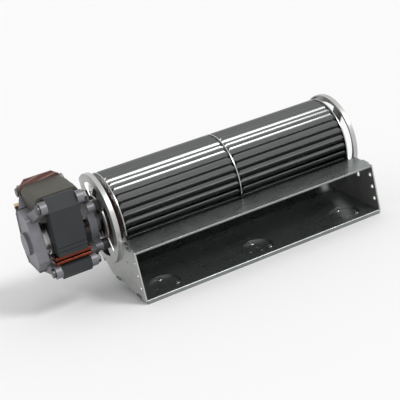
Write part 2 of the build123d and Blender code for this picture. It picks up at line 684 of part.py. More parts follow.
def bracket_holes(body_out, body_in, foot, side, has_posts):
    """Bearing seat, shaft hole, through-screw holes and the posts' blind holes."""
    seat_end = body_out + side * (BOSS_L - BOSS_CROWN)
    cuts = slab(Circle(BEARING_R), body_in - side, seat_end)
    if has_posts:
        cuts = cuts + slab(Circle(SHAFT_R + 1), seat_end, body_out + side * (BOSS_L + 1))
    for y, z in screw_spots():
        cuts = cuts + slab(Pos(y, z) * Circle(SCREW_R), foot - side, body_out + side)
    if has_posts:
        for y, z in post_spots():
            post_hole = Pos(y, z) * Circle(POST_SCREW_R)
            cuts = cuts + slab(post_hole, body_out - side * POST_BOSS_L, body_out + side)
    return cuts


def left_bracket():
    return bracket(LEFT_BODY_X0, -1, LEFT_STANDOFF, False)


def right_bracket():
    return bracket(RIGHT_BODY_X1, 1, RIGHT_STANDOFF, True)


def motor_bearing(body_out, side):
    seat = body_out + side * (BOSS_L - BOSS_CROWN)
    return slab(Circle(BEARING_R) - Circle(SHAFT_R + RUNNING), seat - side * MOTOR_BEARING_L, seat)


def motor_screws():
    head_face = LEFT_BODY_X0 + ARM_STEP
    end = RIGHT_BODY_X1 - ARM_STEP + NUT_T + 0.6
    screws = []
    for y, z in screw_spots():
        head = rod(SCREW_HEAD_R, head_face - SCREW_HEAD_T, head_face, y, z)
        screws.append(tilted(head + rod(SCREW_R, head_face, end, y, z)))
    return Compound(screws)


def motor_nuts():
    seat = RIGHT_BODY_X1 - ARM_STEP
    nuts = []
    for y, z in screw_spots():
        nut = Pos(y, z) * (RegularPolygon(NUT_R, 6) - Circle(SCREW_R))
        nuts.append(tilted(slab(nut, seat, seat + NUT_T)))
    return Compound(nuts)


def rubber_posts():
    posts = []
    for y, z in post_spots():
        post = Pos(y, z) * (Circle(POST_R) - Circle(POST_SCREW_R))
        posts.append(tilted(slab(post, RIGHT_BODY_X1, -DISH_OUT)))
    return Compound(posts)


def post_screws():
    screws = []
    for y, z in post_spots():
        shank = rod(POST_SCREW_R, RIGHT_BODY_X1 - POST_BOSS_L, -DISH_IN, y, z)
        head = rod(POST_HEAD_R, -DISH_IN, -DISH_IN + POST_HEAD_T, y, z)
        screws.append(tilted(shank + head))
    return Compound(screws)


NODES = {
    "left_end_plate": end_plate(-1, True),
    "right_end_plate": end_plate(1, False),
    "scroll_sheet": scroll_sheet(),
    "tongue_sheet": tongue_sheet(),
    "impeller_blades": impeller_blades(),
    "drive_disc": drive_disc(),
    "middle_ring": middle_ring(),
    "bearing_disc": bearing_disc(),
    "rubber_drive_hub": rubber_drive_hub(),
    "hub_bush": hub_bush(),
    "stub_shaft": stub_shaft(),
    "end_bearing": end_bearing(),
    "bearing_rubber_mount": bearing_rubber_mount(),
    "bearing_cap": bearing_cap(),
    "stator_stack": stator_stack(),
    "coil_core_bar": coil_core_bar(),
    "coil_bobbin": coil_bobbin(),
    "coil_winding": coil_winding(),
    "terminals": terminals(),
    "shading_rings": shading_rings(),
    "rotor": rotor(),
    "motor_shaft": motor_shaft(),
    "left_bracket": left_bracket(),
    "right_bracket": right_bracket(),
    "left_motor_bearing": motor_bearing(LEFT_BODY_X0, -1),
    "right_motor_bearing": motor_bearing(RIGHT_BODY_X1, 1),
    "motor_screws": motor_screws(),
    "motor_nuts": motor_nuts(),
    "rubber_posts": rubber_posts(),
    "post_screws": post_screws(),
}

to_mouth_lip = Pos(0, -MOUTH_Y, FRONT_LIP / 2 - MOUTH_FLOOR_Z)
os.makedirs("parts", exist_ok=True)
for name, shape in NODES.items():
    export_step(to_mouth_lip * shape, f"parts/{name}.step")
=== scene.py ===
"""The finished look of a cross flow blower: bent galvanised housing, bladed wheel and open motor."""
import json
import random
from math import atan2, cos, hypot, pi, radians, sin, sqrt

import bmesh
import bpy
from mathutils import Matrix, Vector, noise

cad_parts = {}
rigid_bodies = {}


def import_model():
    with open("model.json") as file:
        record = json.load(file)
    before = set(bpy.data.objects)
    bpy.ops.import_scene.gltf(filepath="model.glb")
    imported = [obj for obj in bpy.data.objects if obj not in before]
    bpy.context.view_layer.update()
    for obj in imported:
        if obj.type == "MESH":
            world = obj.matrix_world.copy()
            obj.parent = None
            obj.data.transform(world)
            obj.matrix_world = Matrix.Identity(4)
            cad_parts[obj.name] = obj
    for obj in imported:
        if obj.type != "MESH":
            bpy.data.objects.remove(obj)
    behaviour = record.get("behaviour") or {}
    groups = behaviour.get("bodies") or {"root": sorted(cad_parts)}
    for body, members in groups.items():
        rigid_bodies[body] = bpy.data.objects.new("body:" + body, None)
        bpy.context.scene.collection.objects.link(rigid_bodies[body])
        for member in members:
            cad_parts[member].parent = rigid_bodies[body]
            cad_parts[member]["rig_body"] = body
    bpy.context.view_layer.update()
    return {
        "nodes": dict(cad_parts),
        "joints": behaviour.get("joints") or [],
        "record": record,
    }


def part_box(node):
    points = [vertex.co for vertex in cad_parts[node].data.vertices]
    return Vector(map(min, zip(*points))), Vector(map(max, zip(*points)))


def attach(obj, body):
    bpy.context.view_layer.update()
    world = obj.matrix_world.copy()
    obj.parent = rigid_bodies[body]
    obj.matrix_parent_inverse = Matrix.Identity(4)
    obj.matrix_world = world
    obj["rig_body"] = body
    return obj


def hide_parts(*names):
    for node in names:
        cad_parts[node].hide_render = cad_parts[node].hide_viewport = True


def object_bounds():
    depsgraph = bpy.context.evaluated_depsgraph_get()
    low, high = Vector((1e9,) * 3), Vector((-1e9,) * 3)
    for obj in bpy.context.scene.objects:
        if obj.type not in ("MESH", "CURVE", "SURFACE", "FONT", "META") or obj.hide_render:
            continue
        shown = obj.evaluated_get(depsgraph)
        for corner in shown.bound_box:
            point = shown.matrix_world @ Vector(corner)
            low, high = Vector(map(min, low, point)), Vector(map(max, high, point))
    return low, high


for leftover in list(bpy.data.objects):
    bpy.data.objects.remove(leftover)
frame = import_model()

MM = 0.001
random.seed(7)

# ---- places read from the frame
AXIS = Vector(frame["joints"][0]["pos_m"])        # a point on the wheel's axis, midway along it
WHEEL_R = (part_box("middle_ring")[1].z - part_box("middle_ring")[0].z) / 2
WHEEL_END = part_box("bearing_disc")[1].x
DISC_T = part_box("bearing_disc")[1].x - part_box("bearing_disc")[0].x
BLADE_TIP_R = WHEEL_R - 0.5 * MM
STACK_X0, STACK_X1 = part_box("stator_stack")[0].x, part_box("stator_stack")[1].x
PLATE_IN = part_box("right_end_plate")[0].x
HOUSING, WHEEL = "housing", "impeller"

# ---- the sheets
SHEET_T = 1.0 * MM
SHEET_EDGE = 0.14 * MM     # softening of a cut sheet edge
DISH_GAP = 0.8 * MM        # from the wheel's rings to the dish's wall
HEM_T = 1.4 * MM
HEM_REACH = 1.6 * MM       # how far the hem goes back from the tongue's front
AT_FRONT = 0.1 * MM        # slack for a point that lies on a front or side face
COLLAR_PROFILE = [         # (radius, height) corners of a drawn collar, in mm
    (1.65, -0.3), (1.65, 0.45), (1.8, 0.55), (1.95, 0.4), (2.1, 0.0), (2.1, -0.3)]

# ---- the motor
MOTOR_TILT = radians(7.0)
SCREW_HEAD_T = 2.0 * MM
SCREW_HEAD_R = 3.2 * MM
SCREW_EAR_R = 4.5 * MM
LEFT_EAR_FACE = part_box("motor_screws")[0].x + SCREW_HEAD_T
RIGHT_EAR_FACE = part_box("motor_nuts")[0].x
EAR_REACH = 4.8 * MM       # how far from a screw's line its ear, head and nut go
EAR_T = 4.6 * MM
BOSS_R = 8.0 * MM
BOSS_PROUD = 2.2 * MM      # of the pan's outer face
BRIDGE_GAP = 6.1 * MM      # from the pan's inner face to the stack
BRIDGE_ROUNDING = 0.7 * MM
BRIDGE_OUTLINE = [         # the pan upright about the axis, in mm
    (-9, 22.5), (-13, 20.5), (-18.5, 5), (-19, -10), (-14.5, -16.5), (8, -16.5), (11.5, -10),
    (11.5, 5), (10, 19), (7, 22.5)]
ARM_ROOT_SIDE = 9 * MM     # the arms' roots on the pan, from the axis
ARM_ROOT_TOP = 19 * MM
ARM_ROOT_LOW = -13.5 * MM
ARM_EAR_HALF = 2.9 * MM    # half the arm's width at its ear and at its root
ARM_ROOT_HALF = 3.8 * MM
FLANGE_DEPTH = 2.5 * MM    # of the bobbin's front end that is drawn in
FLANGE_INSET = 0.4 * MM    # of its sides behind the stack's sides
FLANGE_DROP = 0.8 * MM     # of its top below the stack's top

# ---- the blades
BLADE_COUNT = 32
BLADE_W = 6.9 * MM
BLADE_LEAN = radians(-44.0)
BLADE_SAG = 1.5 * MM
BLADE_T = 0.5 * MM
BLADE_BOW = 0.12 * MM      # the most that a strip bows along its length
BLADE_STRAY = 0.5          # the most that a strip stands off its even place, in degrees
FIRST_BLADE = radians(180 + 4.4)
BLADE_STEPS = 10           # facets across a blade
CUT_LENGTH = 2.2 * MM      # along the strip, of the cut-back tip corner
CUT_SHARE = 0.17           # of the blade's width that the cut takes at the disc
CUT_CURVE = 0.6            # below 1 makes the cut a rounded one
EDGE_THIN = 0.55           # a strip's thickness at its edges, as a share
CUT_EDGE = 1               # material place of the blades' cut edges, bare cut metal in the wheel's rim tone, bright beside the faces' painted shade
TAB_SHARES = (0.34, 0.72)  # where a tab starts and ends across the blade
TAB_THICK = 0.7            # half a tab's thickness, in blade thicknesses
TAB_PROUD = 0.35 * MM


# ======================================================================================
# Materials
# ======================================================================================

def shader_group(name, inputs, outputs):
    """An empty shader node group with float sockets; returns it with its two end nodes."""
    group = bpy.data.node_groups.new(name, "ShaderNodeTree")
    for socket, value in inputs:
        made = group.interface.new_socket(socket, in_out="INPUT", socket_type="NodeSocketFloat")
        made.default_value = value
    for socket in outputs:
        group.interface.new_socket(socket, in_out="OUTPUT", socket_type="NodeSocketFloat")
    return group, group.nodes.new("NodeGroupInput"), group.nodes.new("NodeGroupOutput")


def add(tree, kind, values=None, **settings):
    """A node with its settings, and its unlinked inputs by name or number."""
    node = tree.nodes.new(kind)
    for key, value in settings.items():
        setattr(node, key, value)
    for key, value in (values or {}).items():
        node.inputs[key].default_value = value
    return node


def calc(tree, operation, first, second=None, third=None):
    """A math node's output; each operand is a socket or a number."""
    node = tree.nodes.new("ShaderNodeMath")
    node.operation = operation
    for slot_number, operand in enumerate((first, second, third)):
        if operand is None:
            continue
        if isinstance(operand, (int, float)):
            node.inputs[slot_number].default_value = operand
        else:
            tree.links.new(operand, node.inputs[slot_number])
    return node.outputs[0]


def object_axes(tree):
    """The X, Y and Z of a place on a piece."""
    split = add(tree, "ShaderNodeSeparateXYZ")
    tree.links.new(add(tree, "ShaderNodeTexCoord").outputs["Object"], split.inputs[0])
    return split.outputs


def mottle_group():
    """Soft blotches and fine grain: tone and roughness offsets about zero, and a height."""
    group, start, end = shader_group(
        "mottle", [("Blotch Scale", 40.0), ("Grain Scale", 900.0), ("Stretch", 1.0)],
        ["Tone", "Roughness", "Height"])
    axes = object_axes(group)
    stretched = add(group, "ShaderNodeCombineXYZ")
    along = calc(group, "MULTIPLY", axes["X"], start.outputs["Stretch"])
    group.links.new(along, stretched.inputs["X"])
    group.links.new(axes["Y"], stretched.inputs["Y"])
    group.links.new(axes["Z"], stretched.inputs["Z"])
    values = []
    for scale in ("Blotch Scale", "Grain Scale"):
        cloud = add(group, "ShaderNodeTexNoise", {"Detail": 4.0, "Roughness": 0.6})
        group.links.new(stretched.outputs[0], cloud.inputs["Vector"])
        group.links.new(start.outputs[scale], cloud.inputs["Scale"])
        values.append(calc(group, "SUBTRACT", cloud.outputs["Fac"], 0.5))
    blotch, grain = values
    half_grain = calc(group, "MULTIPLY", grain, 0.5)
    group.links.new(calc(group, "MULTIPLY_ADD", grain, 0.6, blotch), end.inputs["Tone"])
    group.links.new(calc(group, "MULTIPLY_ADD", blotch, 0.5, half_grain), end.inputs["Roughness"])
    group.links.new(calc(group, "MULTIPLY_ADD", blotch, 0.2, grain), end.inputs["Height"])
    return group


def spangle_group():
    """Zinc crystals: flat cells with a tone about one and a small gain in roughness."""
    group, start, end = shader_group(
        "spangle", [("Crystal Scale", 140.0), ("Tone Change", 0.10), ("Roughness Change", 0.05)],
        ["Tone", "Roughness"])
    cells = add(group, "ShaderNodeTexVoronoi")
    group.links.new(add(group, "ShaderNodeTexCoord").outputs["Object"], cells.inputs["Vector"])
    group.links.new(start.outputs["Crystal Scale"], cells.inputs["Scale"])
    split = add(group, "ShaderNodeSeparateColor")
    group.links.new(cells.outputs["Color"], split.inputs[0])
    about_zero = calc(group, "SUBTRACT", split.outputs[0], 0.5)
    group.links.new(calc(group, "MULTIPLY_ADD", about_zero, start.outputs["Tone Change"], 1.0),
                    end.inputs["Tone"])
    group.links.new(calc(group, "MULTIPLY", split.outputs[1], start.outputs["Roughness Change"]),
                    end.inputs["Roughness"])
    return group


MOTTLE = mottle_group()
SPANGLE = spangle_group()


def material(name, color, metallic, roughness, tone=0.2, rough_change=0.1, bump=0.1, blotch=40.0,
             grain=900.0, stretch=1.0, extra=None, **shader_values):
    """A Principled material whose tone, roughness and relief vary over the surface."""
    made = bpy.data.materials.new(name)
    made.use_nodes = True
    tree = made.node_tree
    shader = tree.nodes["Principled BSDF"]
    shader.inputs["Metallic"].default_value = metallic
    for key, value in shader_values.items():
        shader.inputs[key.replace("_", " ").title().replace("Ior", "IOR")].default_value = value
    marks = add(tree, "ShaderNodeGroup", node_tree=MOTTLE)
    marks.inputs["Blotch Scale"].default_value = blotch
    marks.inputs["Grain Scale"].default_value = grain
    marks.inputs["Stretch"].default_value = stretch
    shade = calc(tree, "MULTIPLY_ADD", marks.outputs["Tone"], tone, 1.0)
    height = marks.outputs["Height"]
    rough = calc(tree, "MULTIPLY_ADD", marks.outputs["Roughness"], rough_change, roughness)
    if extra:
        shade, rough, height = extra(tree, shade, rough, height)
    tint = add(tree, "ShaderNodeMix", data_type="RGBA", blend_type="MULTIPLY")
    tint.inputs["Factor"].default_value = 1.0
    tint.inputs["A"].default_value = (*color, 1.0)
    grey = add(tree, "ShaderNodeCombineColor")
    for channel in range(3):
        tree.links.new(shade, grey.inputs[channel])
    tree.links.new(grey.outputs[0], tint.inputs["B"])
    tree.links.new(tint.outputs["Result"], shader.inputs["Base Color"])
    tree.links.new(rough, shader.inputs["Roughness"])
    relief = add(tree, "ShaderNodeBump", {"Strength": bump, "Distance": 0.2 * MM})
    tree.links.new(height, relief.inputs["Height"])
    tree.links.new(relief.outputs["Normal"], shader.inputs["Normal"])
    return made


def spangle(tree, shade, rough, height):
    """Zinc crystals over a sheet's tone and roughness."""
    crystals = add(tree, "ShaderNodeGroup", node_tree=SPANGLE)
    crystals.inputs["Crystal Scale"].default_value = 140.0
    crystals.inputs["Tone Change"].default_value = 0.10
    crystals.inputs["Roughness Change"].default_value = 0.05
    shade = calc(tree, "MULTIPLY", shade, crystals.outputs["Tone"])
    rough = calc(tree, "ADD", rough, crystals.outputs["Roughness"])
    return shade, rough, height


def lamination_lines(tree, shade, rough, height):
    """The edges of thin punched sheets stacked along X."""
    pitch = 0.5 * MM
    phase = calc(tree, "FRACT", calc(tree, "DIVIDE", object_axes(tree)["X"], pitch))
    from_middle = calc(tree, "ABSOLUTE", calc(tree, "MULTIPLY_ADD", phase, 2.0, -1.0))
    ridge = calc(tree, "SUBTRACT", 1.0, from_middle)
    shade = calc(tree, "MULTIPLY", shade, calc(tree, "MULTIPLY_ADD", ridge, 0.25, 0.86))
    height = calc(tree, "MULTIPLY_ADD", ridge, 0.6, height)
    return shade, rough, height


def tape_weave(tree, shade, rough, height):
    """The fine cross weave of glass-cloth tape."""
    axes = object_axes(tree)
    thread = 2 * pi / (0.7 * MM)
    across = calc(tree, "SINE", calc(tree, "MULTIPLY", axes["Y"], thread))
    round_coil = calc(tree, "ADD", axes["X"], axes["Z"])
    along = calc(tree, "SINE", calc(tree, "MULTIPLY", round_coil, thread))
    weave = calc(tree, "MULTIPLY", across, along)
    shade = calc(tree, "MULTIPLY_ADD", weave, 0.05, shade)
    height = calc(tree, "MULTIPLY_ADD", weave, 0.35, height)
    return shade, rough, height


def make_materials():
    """The material of each finish, by the finish's name."""
    return {
        "galvanised_sheet": material(
            "galvanised_sheet", (0.46, 0.47, 0.455), 0.85, 0.36, tone=0.12, rough_change=0.16,
            bump=0.05, blotch=22.0, grain=260.0, stretch=0.25, extra=spangle),
        # the scroll and tongue take a darker copy of the same galvanised sheet: painted shade
        "sheet_painted_shade": material(
            "galvanised_sheet_painted_shade", (0.235, 0.25, 0.245), 0.85, 0.27, tone=0.22, rough_change=0.30,
            bump=0.10, blotch=30.0, grain=260.0, stretch=0.35, extra=spangle),
        # the blade strips' colour is darkened well below the wheel's own metal of the rims and discs:
        # painted shade
        "wheel_aluminium": material(
            "wheel_strip_painted_shade", (0.115, 0.119, 0.117), 0.7, 0.20, tone=0.5, rough_change=0.10, bump=0.05,
            blotch=120.0, grain=1600.0, stretch=0.03),
        "wheel_rim": material(
            "wheel_rim", (0.45, 0.45, 0.44), 1.0, 0.24, tone=0.4, bump=0.06),
        "hub_rubber": material(
            "hub_rubber", (0.085, 0.022, 0.014), 0.0, 0.55, tone=0.4, bump=0.25, grain=1500.0),
        "dark_rubber": material(
            "dark_rubber", (0.012, 0.012, 0.013), 0.0, 0.5, tone=0.4, bump=0.25, grain=1500.0),
        "lamination_steel": material(
            "lamination_steel", (0.026, 0.029, 0.031), 0.0, 0.60, tone=0.35, rough_change=0.15,
            bump=0.25, blotch=60.0, grain=1400.0, extra=lamination_lines, specular_ior_level=0.3),
        "bobbin_plastic": material(
            "bobbin_plastic", (0.098, 0.030, 0.020), 0.0, 0.42, tone=0.3, bump=0.12, blotch=90.0,
            grain=2200.0),
        "coil_tape": material(
            "coil_tape", (0.062, 0.059, 0.047), 0.0, 0.62, tone=0.35, bump=0.35, blotch=70.0, grain=1300.0,
            extra=tape_weave),
        "copper": material(
            "copper", (0.15, 0.036, 0.021), 1.0, 0.27, tone=0.7, rough_change=0.25, bump=0.15,
            blotch=160.0),
        "terminal_brass": material(
            "terminal_brass", (0.55, 0.40, 0.16), 1.0, 0.28, tone=0.3, bump=0.05),
        "die_cast_metal": material(
            "die_cast_metal", (0.175, 0.175, 0.19), 0.5, 0.42, tone=0.55, rough_change=0.2, bump=0.5,
            blotch=110.0, grain=1300.0),
        "rotor_metal": material(
            "rotor_metal", (0.72, 0.72, 0.72), 1.0, 0.32, tone=0.3, bump=0.3, blotch=150.0),
        "plated_steel": material(
            "plated_steel", (0.11, 0.11, 0.11), 1.0, 0.36, tone=0.3, bump=0.08, blotch=200.0),
        "bearing_bronze": material(
            "bearing_bronze", (0.35, 0.20, 0.08), 1.0, 0.40, tone=0.3, bump=0.3, grain=2500.0),
    }


FINISHES = make_materials()
SLOT_OF = {part["node"]: part["material_slot"] for part in frame["record"]["subparts"]}


# ======================================================================================
# Making pieces
# ======================================================================================

def piece(name, work, nodes, slot_name, finish=None, sharp=38.0, body=None):
    """A finished object from a bmesh: smooth, faced, riding its body and standing for nodes."""
    bmesh.ops.recalc_face_normals(work, faces=work.faces)
    mesh = bpy.data.meshes.new(name)
    work.to_mesh(mesh)
    work.free()
    made = bpy.data.objects.new(name, mesh)
    bpy.context.scene.collection.objects.link(made)
    mesh.materials.append(FINISHES[finish or slot_name])
    for face in mesh.polygons:
        face.use_smooth = True
    mesh.set_sharp_from_angle(angle=radians(sharp))
    even = made.modifiers.new("even_normals", "WEIGHTED_NORMAL")
    even.keep_sharp = True
    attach(made, body or frame["nodes"][nodes[0]]["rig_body"])
    if nodes:
        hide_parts(*nodes)
    return made


def joined_faces(node):
    """A CAD node's mesh with doubled points merged and flat triangles joined."""
    work = bmesh.new()
    work.from_mesh(frame["nodes"][node].data)
    bmesh.ops.remove_doubles(work, verts=work.verts, dist=0.002 * MM)
    bmesh.ops.dissolve_limit(work, angle_limit=radians(0.6), verts=work.verts, edges=work.edges)
    return work


def round_edges(work, width, picked=None, corner=32.0, segments=2):
    """Rounds over the sharp edges that picked says yes to."""
    edges = [
        edge for edge in work.edges
        if len(edge.link_faces) == 2 and edge.calc_face_angle(0) > radians(corner)
        and (picked is None or picked(edge.verts[0].co, edge.verts[1].co))
    ]
    if edges:
        bmesh.ops.bevel(work, geom=edges, offset=width, offset_type="OFFSET", segments=segments,
                        profile=0.5, affect="EDGES", clamp_overlap=True)


def softened(node, width, finish=None, special=(), reshape=None):
    """A node's own shape with broken edges; special holds (width, picked) for other radii."""
    work = joined_faces(node)
    if reshape:
        reshape(work)
    for special_width, picked in special:
        round_edges(work, special_width, picked, segments=3)
    round_edges(work, width)
    piece(f"{node}_finished", work, [node], SLOT_OF[node], finish)


def radius_of(point):
    """Distance of a point from the wheel's axis."""
    return hypot(point.y - AXIS.y, point.z - AXIS.z)


def walls(work, near, far):
    """Four-cornered faces between two closed loops of as many points; returns them in order."""
    made = []
    for step in range(len(near)):
        after = (step + 1) % len(near)
        made.append(work.faces.new((near[step], near[after], far[after], far[step])))
    return made


def lathe(work, profile, steps=32):
    """Turns (x, radius) corners about the wheel's axis, closed at both ends."""
    rings = []
    for x, radius in profile:
        ring = []
        for step in range(steps):
            angle = 2 * pi * step / steps
            y, z = AXIS.y + radius * cos(angle), AXIS.z + radius * sin(angle)
            ring.append(work.verts.new((x, y, z)))
        rings.append(ring)
    for near, far in zip(rings, rings[1:]):
        walls(work, near, far)
    work.faces.new(rings[0])
    work.faces.new(rings[-1])


# ======================================================================================
# The wheel
# ======================================================================================

def blade_line(share):
    """A point on a blade's middle line, root at 0 and tip at 1, with the line's normal."""
    mid_r = BLADE_TIP_R - BLADE_W / 2
    half = BLADE_W / 2 / cos(BLADE_LEAN)
    along = Vector((cos(BLADE_LEAN), sin(BLADE_LEAN)))
    across = Vector((-along.y, along.x))
    arc_r = (half * half + BLADE_SAG * BLADE_SAG) / (2 * BLADE_SAG)
    sweep = 2 * atan2(half, arc_r - BLADE_SAG)
    angle = (share - 0.5) * sweep
    centre = Vector((mid_r, 0)) - across * (arc_r - BLADE_SAG)
    outward = across * cos(angle) + along * sin(angle)
    return centre + outward * arc_r, outward


def about_wheel(x, flat, turn):
    """A point drawn across the wheel, placed at x and turned about the wheel's axis."""
    y = flat.x * cos(turn) - flat.y * sin(turn)
    z = flat.x * sin(turn) + flat.y * cos(turn)
    return x, AXIS.y + y, AXIS.z + z


def blade_strip(work, turn, x_near, x_far, most_bow):
    """One blade: a curved strip whose tip corners are cut back at both its ends."""
    side = 1 if x_far > x_near else -1
    length = abs(x_far - x_near)
    near_end = [0, 0.5 * MM, 1.2 * MM, CUT_LENGTH]
    stations = (near_end + [length * share for share in (0.25, 0.5, 0.75)]
                + [length - reach for reach in near_end[::-1]])
    loops = []
    for reach in stations:
        from_end = min(reach, length - reach)
        cut = CUT_SHARE * max(0.0, 1 - from_end / CUT_LENGTH) ** CUT_CURVE
        bow = most_bow * sin(pi * reach / length)
        back, front = [], []
        for step in range(BLADE_STEPS + 1):
            share = step / BLADE_STEPS * (1 - cut)
            point, normal = blade_line(share)
            thick = BLADE_T / 2
            if step in (0, BLADE_STEPS):
                thick *= EDGE_THIN
            for row, sign in ((back, 1), (front, -1)):
                flat = point + normal * (thick * sign + bow)
                row.append(work.verts.new(about_wheel(x_near + side * reach, flat, turn)))
        loops.append(back + front[::-1])
    for near, far in zip(loops, loops[1:]):
        walls(work, near, far)[BLADE_STEPS].material_index = CUT_EDGE
    work.faces.new(loops[0])
    work.faces.new(loops[-1])


def blade_tab(work, turn, x_face, side):
    """The blade's tongue, pushed through a disc and set down on its outer face."""
    first, last = TAB_SHARES
    loops = []
    for x in (x_face - side * DISC_T * 0.9, x_face + side * TAB_PROUD):
        loop = []
        for share, sign in ((first, 1), (last, 1), (last, -1), (first, -1)):
            point, normal = blade_line(share)
            flat = point + normal * (sign * BLADE_T * TAB_THICK)
            loop.append(work.verts.new(about_wheel(x, flat, turn)))
        loops.append(loop)
    for loop in loops:
        work.faces.new(loop)
    walls(work, *loops)


def make_wheel():
    """The blades with their tabs, the discs that hold them, the hub and the two shafts."""
    blades = bmesh.new()
    tabs = bmesh.new()
    for number in range(BLADE_COUNT):
        turn = FIRST_BLADE + number * 2 * pi / BLADE_COUNT
        for side in (-1, 1):
            bow = random.uniform(-BLADE_BOW, BLADE_BOW)
            stray = radians(random.uniform(-BLADE_STRAY, BLADE_STRAY))
            blade_strip(blades, turn + stray, side * DISC_T / 2, side * (WHEEL_END - DISC_T), bow)
            blade_tab(tabs, turn, side * WHEEL_END, side)
    made = piece("blades_finished", blades, ["impeller_blades"], "wheel_aluminium", sharp=50.0)
    # the cut edges take the wheel's rim metal, bright beside the blade faces' painted shade
    made.data.materials.append(FINISHES["wheel_rim"])
    piece("blade_tabs", tabs, [], "wheel_aluminium", "wheel_rim", body=WHEEL)
    for node in ("drive_disc", "middle_ring", "bearing_disc"):
        softened(node, 0.12 * MM, "wheel_rim")
    softened("rubber_drive_hub", 0.5 * MM)
    for node in ("hub_bush", "stub_shaft", "motor_shaft"):
        softened(node, 0.15 * MM)


# ======================================================================================
# The housing
# ======================================================================================

def on_dish(first, second):
    """Edges of the pressed dish's round wall, inside and outside."""
    off_wall, off_flat = 0.12 * MM, 0.05 * MM
    wall_radii = (WHEEL_R + DISH_GAP, WHEEL_R + DISH_GAP + SHEET_T)
    far_out = min(abs(first.x), abs(second.x)) > PLATE_IN - AT_FRONT
    round_wall = all(
        any(abs(radius_of(point) - wall) < off_wall for wall in wall_radii)
        for point in (first, second))
    along_plate = abs(first.x - second.x) < off_flat
    return far_out and round_wall and along_plate


def make_end_plates():
    for node in ("left_end_plate", "right_end_plate"):
        softened(node, SHEET_EDGE, special=[(0.4 * MM, on_dish)])


def front_bend(first, second):
    """The outside of the bend between the floor and its front lip."""
    bend_z, off_bend = 1.5 * MM, 0.2 * MM
    return all(
        abs(point.y) < AT_FRONT and abs(point.z - bend_z) < off_bend for point in (first, second))


def long_bend(first, second):
    """Edges that run most of the sheet's length."""
    return abs(first.x - second.x) > 150 * MM


def close_hem(work):
    """The tongue's front hem, pressed nearly flat under its edge."""
    front = min(vertex.co.y for vertex in work.verts)
    edge = [
        vertex for vertex in work.verts
        if vertex.co.y < front + HEM_REACH and abs(vertex.co.x) < PLATE_IN + AT_FRONT]
    top = max(vertex.co.z for vertex in edge if vertex.co.y < front + AT_FRONT)
    for vertex in edge:
        vertex.co.z = max(vertex.co.z, top - HEM_T)


def make_hole_collars():
    """The drawn collars that stand round the holes in the floor's dimples."""
    mounts = {mount["name"]: mount for mount in frame["record"]["mounts"]}
    left, right = (mounts[name] for name in ("left_floor_holes", "right_floor_holes"))
    up = Vector(left["axis"])
    back = Vector((0, up.z, -up.y))
    ring_r = left["dims"]["pcd_mm"] / 2 * MM
    steps = 20
    collars = bmesh.new()
    for share in (0, 0.5, 1):
        dimple = Vector(left["pos_m"]).lerp(Vector(right["pos_m"]), share)
        for turn in (90, 210, 330):
            aside = Vector((ring_r * cos(radians(turn)), 0, 0))
            hole = dimple + aside + back * ring_r * sin(radians(turn))
            rings = []
            for radius, height in COLLAR_PROFILE:
                ring = []
                for step in range(steps):
                    angle = 2 * pi * step / steps
                    flat = Vector((cos(angle), 0, 0)) + back * sin(angle)
                    ring.append(collars.verts.new(hole + flat * radius * MM + up * height * MM))
                rings.append(ring)
            for near, far in zip(rings, rings[1:] + rings[:1]):
                walls(collars, near, far)
    piece("floor_hole_collars", collars, [], "galvanised_sheet", "wheel_rim", body=HOUSING)


def make_sheets():
    front, along = (0.8 * MM, front_bend), (0.3 * MM, long_bend)
    # scroll and tongue in the darker copy of the sheet, which is painted shade
    softened("scroll_sheet", SHEET_EDGE, "sheet_painted_shade", [front, along])
    softened("tongue_sheet", SHEET_EDGE, "sheet_painted_shade", [along], reshape=close_hem)


def make_far_bearing():
    softened("bearing_rubber_mount", 0.4 * MM)
    softened("bearing_cap", 0.3 * MM)
    softened("end_bearing", 0.2 * MM)


# ======================================================================================
# The motor
# ======================================================================================

def upright(point):
    """A point of the tilted motor, turned back upright about the axis: (y, z) from the axis."""
    y, z = point.y - AXIS.y, point.z - AXIS.z
    c, s = cos(-MOTOR_TILT), sin(-MOTOR_TILT)
    return y * c - z * s, y * s + z * c


def mounted(x, y, z):
    """A place given upright about the axis, in the motor's tilted position."""
    c, s = cos(MOTOR_TILT), sin(MOTOR_TILT)
    return Vector((x, AXIS.y + y * c - z * s, AXIS.z + y * s + z * c))


